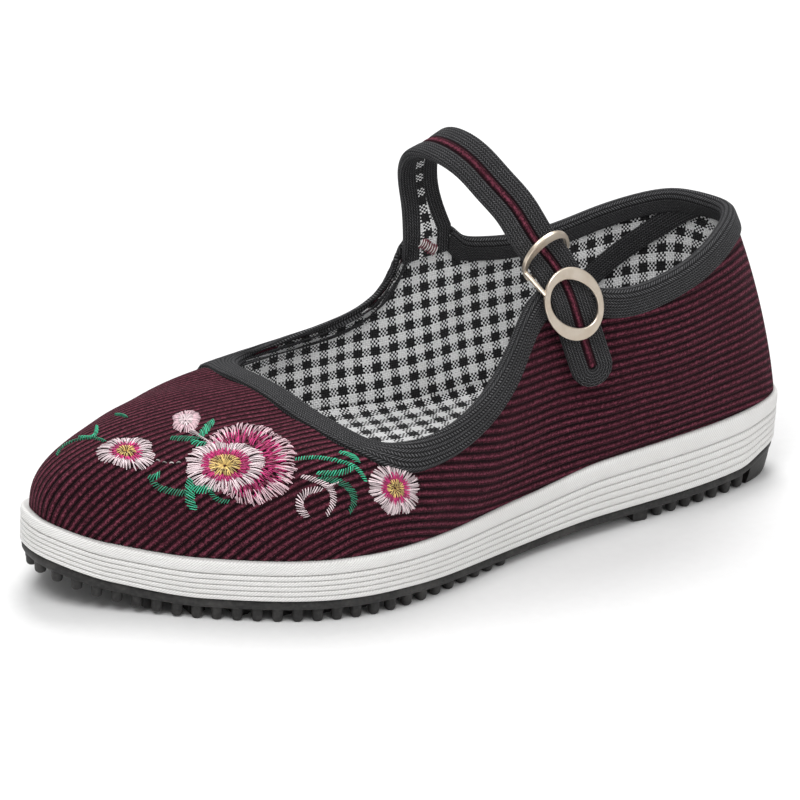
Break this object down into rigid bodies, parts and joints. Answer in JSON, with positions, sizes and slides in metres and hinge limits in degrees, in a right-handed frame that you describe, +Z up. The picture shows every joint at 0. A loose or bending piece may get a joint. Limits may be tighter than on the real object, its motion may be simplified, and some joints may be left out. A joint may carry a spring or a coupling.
{
  "type": "cloth shoe",
  "caption": "Left women's cloth Mary Jane shoe with an arched instep strap, a ring buckle, a ribbed white sole band and a studded rubber outsole.",
  "frame": {"origin": "middle of the bounding box, on the floor under the sole", "axes": "+X from the heel to the toe, +Y to the outer (lateral) side, +Z up"},
  "size_m": [0.248, 0.089, 0.1162],
  "materials": {
    "dark_rubber": "moulded matt rubber",
    "white_rubber": "matt rubber with a fine cloth impression and ribs",
    "insole_cloth": "plain brushed cotton",
    "corduroy": "burgundy cotton corduroy",
    "gingham_lining": "black and white gingham",
    "binding_tape": "charcoal knit tape",
    "strap_cloth": "corduroy strip between knit tapes",
    "loop_tape": "charcoal knit tape",
    "embroidery_thread": "glossy filament thread",
    "satin_metal": "pale gold satin plating"
  },
  "bodies": {
    "root": {"outsole": "dark_rubber", "midsole": "white_rubber", "insole": "insole_cloth", "upper": "corduroy", "collar_binding": "binding_tape", "strap": "strap_cloth", "buckle": "satin_metal", "buckle_loop": "loop_tape"}
  },
  "joints": []
}
